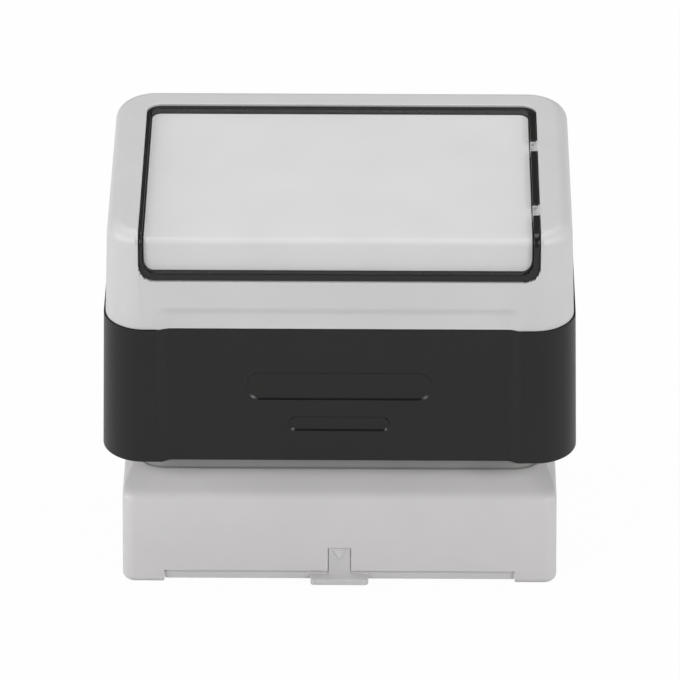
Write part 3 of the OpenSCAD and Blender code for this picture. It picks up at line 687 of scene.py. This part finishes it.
grip = as_object(moulded_block(
    grip_low, grip_high, corner=grip_corner, bottom=0.3 * mm, lean=grip_lean, steps=20,
), "grip_band")
grip_recess = (grip_low.y, grip_low.z, grip_high.z, grip_lean, recess_deep)
shape_with(grip, finger_recess(*grip_recess))
shape_with(grip, turned_back(finger_recess(*grip_recess)))
inset_x = grip_high.x - grip_wall
inset_y = grip_high.y - grip_wall - recess_deep
shape_with(grip, moulded_block(
    (-inset_x, -inset_y, grip_low.z + grip_floor), (inset_x, inset_y, grip_high.z + spare),
    corner=grip_corner - grip_wall, lean=grip_lean,
))
shape_with(grip, moulded_block(
    (-neck_x, -neck_y, 0.0), (neck_x, neck_y, grip_low.z + 3 * spare), corner=neck_corner,
))
panel_sunk = 0.25 * mm
pill_deep = 4 * mm
nearly_half = 0.4999
grip_tall = grip_high.z - grip_low.z
for width, height, middle in (
    (30.0 * mm, 4.6 * mm, 13.9 * mm),
    (16.0 * mm, 2.2 * mm, 6.9 * mm),
):
    pill = bmesh.new()
    bmesh.ops.create_cube(pill, size=1.0)
    bmesh.ops.scale(pill, vec=(width, pill_deep, height), verts=pill.verts)
    ends = [e for e in pill.edges if abs(e.verts[0].co.y - e.verts[1].co.y) > pill_deep / 2]
    rounded(pill, ends, height * nearly_half, 12)
    for v in pill.verts:
        if v.co.y < 0:
            v.co.x += math.copysign(pill_deep, v.co.x)
            v.co.z += math.copysign(pill_deep, v.co.z)
    tilt = Matrix.Rotation(-math.atan(grip_lean / grip_tall), 3, "X")
    bmesh.ops.rotate(pill, matrix=tilt, verts=pill.verts)
    wall_at = grip_low.y + recess_deep + grip_lean * middle / grip_tall
    pill_place = (0.0, wall_at + panel_sunk - pill_deep / 2, grip_low.z + middle)
    bmesh.ops.translate(pill, vec=pill_place, verts=pill.verts)
    shape_with(grip, pill)
set_shading(grip)
grip_finish = plastic(
    "grip_plastic", (0.0050, 0.0046, 0.0041), 0.34,
    grain=0.12, grain_size=1800.0, mottle=0.1, ior=1.45,
)
dress(grip, grip_finish, "handle", "grip_black", "grip_housing")

# ---- Core frame and screws ----
# The frame inside the grip, moulded in grey ABS, carries the ink cell. Four plated steel screws
# hold it to the grip, and the clamp frame snaps to it from below.
core_finish = plastic("core_plastic", (0.15, 0.155, 0.165), 0.5)
for name in ("core_frame", "clamp_frame"):
    wear(frame["nodes"][name], core_finish)
wear(frame["nodes"]["frame_screws"], spring_steel)

# ---- Handle shell ----
# The white top half of the handle, satin ABS. Its opening bends over the front edge, where the
# label tray drops in, and two cradles at its right side hold the cover's knuckles.
shell_low, shell_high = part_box("handle_shell")
tray_low, tray_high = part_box("label_tray")
shell_base = grip_high.z
shell_tall = shell_high.z - shell_base
shell_lean = 0.55 * mm
shell_corner = 6.6 * mm
shell_edge = 2.3 * mm
shell_top = 2.0 * mm
shell_wall = 1.8 * mm
shell_front_wall = 2.7 * mm
hollow_corner = 4.8 * mm
hollow_edge = 1 * mm
snug = 0.15 * mm
slack = 0.05 * mm
open_back_round = 2.5 * mm
open_foot_round = 3.0 * mm
open_x = tray_high.x + snug
open_back = tray_high.y + snug
open_foot = tray_low.z - snug
rim_sink = 0.3 * mm
tray_sink = 1.6 * mm
tray_thick = 1.2 * mm
tray_under = tray_sink + tray_thick


def shell_form(depth):
    """Solid inside the shell's outer surface, everywhere that depth below it."""
    least_round = 0.05 * mm
    return moulded_block(
        (shell_low.x + depth, shell_low.y + depth, shell_base),
        (shell_high.x - depth, shell_high.y - depth, shell_high.z - depth),
        corner=shell_corner - depth, top=max(least_round, shell_edge - depth),
        lean=shell_lean * (shell_tall - depth) / shell_tall, steps=20, edge_steps=10,
    )


def label_block(left, right, back, foot, back_round, foot_round):
    """Block that trims a label layer: open to the front and the top, round at its corners."""
    block = bmesh.new()
    bmesh.ops.create_cube(block, size=1.0)
    for v in block.verts:
        v.co.x = right if v.co.x > 0 else left
        v.co.y = back if v.co.y > 0 else shell_low.y - beyond
        v.co.z = shell_high.z + beyond if v.co.z > 0 else foot
    for radius, rear in ((back_round, True), (foot_round, False)):
        runs = [(e, e.verts[0].co, e.verts[1].co) for e in block.edges]
        upright = [e for e, a, b in runs if abs(a.z - b.z) > beyond / 2 and a.y > 0]
        level = [e for e, a, b in runs if abs(a.y - b.y) > beyond / 2 and a.z < shell_high.z]
        rounded(block, upright if rear else level, radius, 12)
    return block


def opening_tool(wider=0.0):
    """The opening's outline, as deep as the tray all round the bend."""
    outline = label_block(
        -open_x - wider, open_x + wider, open_back + wider, open_foot - wider,
        open_back_round, open_foot_round,
    )
    return carved(outline, shell_form(tray_under + slack + wider))


shell = as_object(shell_form(0.0), "shell_top")
shape_with(shell, opening_tool())
round_edges(shell, mould_soft, steps=4)
hollow_x = shell_high.x - shell_wall
hollow_y = shell_high.y - shell_front_wall
shape_with(shell, moulded_block(
    (-hollow_x, -hollow_y, shell_base - spare), (hollow_x, hollow_y, shell_high.z - shell_top),
    corner=hollow_corner, top=hollow_edge, lean=shell_lean,
))
ledge_out = 1.2 * mm
ledge_in = 2 * mm
ledge_back_in = 1.6 * mm
ledge_root = 0.5 * mm
ledge_gap = 0.04 * mm
off_front = 0.1 * mm
ledge_low = shell_high.z - tray_under - ledge_out
ledge = carved(moulded_block(
    (-open_x - ledge_out, -hollow_y + off_front, ledge_low),
    (open_x + ledge_out, open_back + ledge_out, shell_high.z - shell_top + ledge_root),
), opening_tool(wider=ledge_gap))
ledge = carved(ledge, moulded_block(
    (ledge_in - open_x, -2 * hollow_y, ledge_low - spare),
    (open_x - ledge_in, open_back - ledge_back_in, shell_high.z + spare),
))
shape_with(shell, ledge, "UNION")
recess_tall = 4.4 * mm
recess_fade = 2.0 * mm
recess_shallower = 0.3 * mm
shell_recess = (
    shell_low.y, shell_base, shell_base + recess_tall, shell_lean * recess_tall / shell_tall,
    recess_deep - recess_shallower, recess_fade,
)
shape_with(shell, finger_recess(*shell_recess))
shape_with(shell, turned_back(finger_recess(*shell_recess)))
cover_axis = Vector(joints["cover_hinge"]["pos_m"])
riser = 0.5 * mm
cover_right = cover_axis.x - riser
knuckle = 0.4 * mm
knuckle_gap = 0.1 * mm
knuckle_half = 1.25 * mm
knuckles_y = (6.4 * mm, -15.6 * mm)
ear_left = cover_right + knuckle_gap
ear_right = open_x + ledge_root
ear_half = knuckle_half + knuckle
for y in knuckles_y:
    ear = moulded_block(
        (ear_left, y - ear_half, shell_high.z - tray_under + overlap),
        (ear_right, y + ear_half, cover_axis.z),
    )
    stop = moulded_block(
        (cover_axis.x + knuckle + snug, y - ear_half, cover_axis.z - spare),
        (ear_right, y + ear_half, shell_high.z - rim_sink),
    )
    seat = (cover_axis.x, y, cover_axis.z)
    cradle = rod(knuckle + knuckle_gap, 2 * (knuckle_half + snug), seat, "Y")
    shape_with(shell, carved(carved(ear, stop, "UNION"), cradle), "UNION")
set_shading(shell)
shell_finish = plastic("shell_plastic", (0.65, 0.64, 0.645), 0.4)
dress(shell, shell_finish, "handle", "shell_white", "handle_shell")

# ---- Label tray ----
# A black tray moulded to the opening, in which it snaps, nearly flush with the shell. It holds
# the label, and its rim shows as a dark line all round.
tray_back_round = 2.35 * mm
tray_foot_round = 2.85 * mm
well_back_round = 1.8 * mm
well_foot_round = 2.2 * mm
card_low, card_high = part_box("label_card")
cover_low, cover_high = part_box("label_cover")
tray = as_object(shell_form(rim_sink), "tray_moulding")
shape_with(tray, shell_form(tray_under))
shape_with(tray, label_block(
    tray_low.x, tray_high.x, tray_high.y, tray_low.z, tray_back_round, tray_foot_round,
), "INTERSECT")
shape_with(tray, carved(label_block(
    cover_low.x - snug, cover_right + snug, cover_high.y + snug, cover_low.z - snug,
    well_back_round, well_foot_round,
), shell_form(tray_sink)))
for y in knuckles_y:
    shape_with(tray, moulded_block(
        (ear_left - snug, y - ear_half - snug, shell_high.z - beyond),
        (tray_high.x + spare, y + ear_half + snug, shell_high.z + spare),
    ))
round_edges(tray, 0.15 * mm, steps=4)
set_shading(tray)
tray_finish = plastic("tray_plastic", (0.0075, 0.0068, 0.0060), 0.3, mottle=0.1)
dress(tray, tray_finish, "handle", "tray_black", "label_tray")

# ---- Label card ----
# A white card cut to the cover and bent over the front edge with it. The owner writes on it
# what the stamp prints.
card_back_round = 1.6 * mm
card_foot_round = 2.0 * mm
card_sink = 1.25 * mm
card_thick = 0.3 * mm
card = as_object(shell_form(card_sink), "label_paper")
shape_with(card, shell_form(card_sink + card_thick))
shape_with(card, label_block(
    card_low.x, card_high.x, card_high.y, card_low.z, card_back_round, card_foot_round,
), "INTERSECT")
set_shading(card)
card_finish = plastic("card_paper", (0.87, 0.862, 0.86), 0.75, grain=0.2, grain_size=900.0)
dress(card, card_finish, "handle", "card_white", "label_card")

# ---- Label cover ----
# A clear polycarbonate cover bent over the front edge. Two knuckles at its right edge drop into
# cradles in the shell.
cover_sink = 0.4 * mm
cover_thick = 0.8 * mm
cover_back_round = 1.7 * mm
cover_foot_round = 2.3 * mm
knuckle_top = cover_axis.z + knuckle
cover = as_object(shell_form(cover_sink), "clear_cover")
shape_with(cover, shell_form(cover_sink + cover_thick))
shape_with(cover, label_block(
    cover_low.x, cover_right, cover_high.y, cover_low.z, cover_back_round, cover_foot_round,
), "INTERSECT")
round_edges(cover, 0.1 * mm)
for y in knuckles_y:
    shape_with(cover, moulded_block(
        (cover_right - riser, y - knuckle_half, shell_high.z - cover_sink - cover_thick / 2),
        (cover_right, y + knuckle_half, knuckle_top),
    ), "UNION")
    shape_with(cover, moulded_block(
        (cover_right - riser, y - knuckle_half, cover_axis.z + slack),
        (cover_axis.x, y + knuckle_half, knuckle_top),
    ), "UNION")
    shape_with(cover, rod(knuckle, 2 * knuckle_half, (cover_axis.x, y, cover_axis.z), "Y"), "UNION")
set_shading(cover)
cover_finish = plastic("cover_plastic", (0.30, 0.30, 0.31), 0.2, grain=0.01)
cover_haze = 0.07
cover_finish.node_tree.nodes["Principled BSDF"].inputs["Alpha"].default_value = cover_haze
dress(cover, cover_finish, "cover", "cover_clear", "label_cover")

# ---- Ink cell and stamp face ----
# A moulded grey cup holds a felt block soaked with ink and the felt that feeds the face. The
# face is a sheet of porous rubber, with the print raised on it.
holder_finish = plastic("holder_plastic", (0.27, 0.28, 0.30), 0.5)
ink_finish = plastic("ink_felt", (0.006, 0.006, 0.012), 0.6, grain=0.8, grain_size=900.0)
face_finish = plastic("face_rubber", (0.085, 0.085, 0.095), 0.6, grain=0.3)
for name, finish in (
    ("pad_holder", holder_finish),
    ("ink_reservoir", ink_finish),
    ("ink_feed_pad", ink_finish),
    ("stamp_face", face_finish),
):
    wear(frame["nodes"][name], finish)
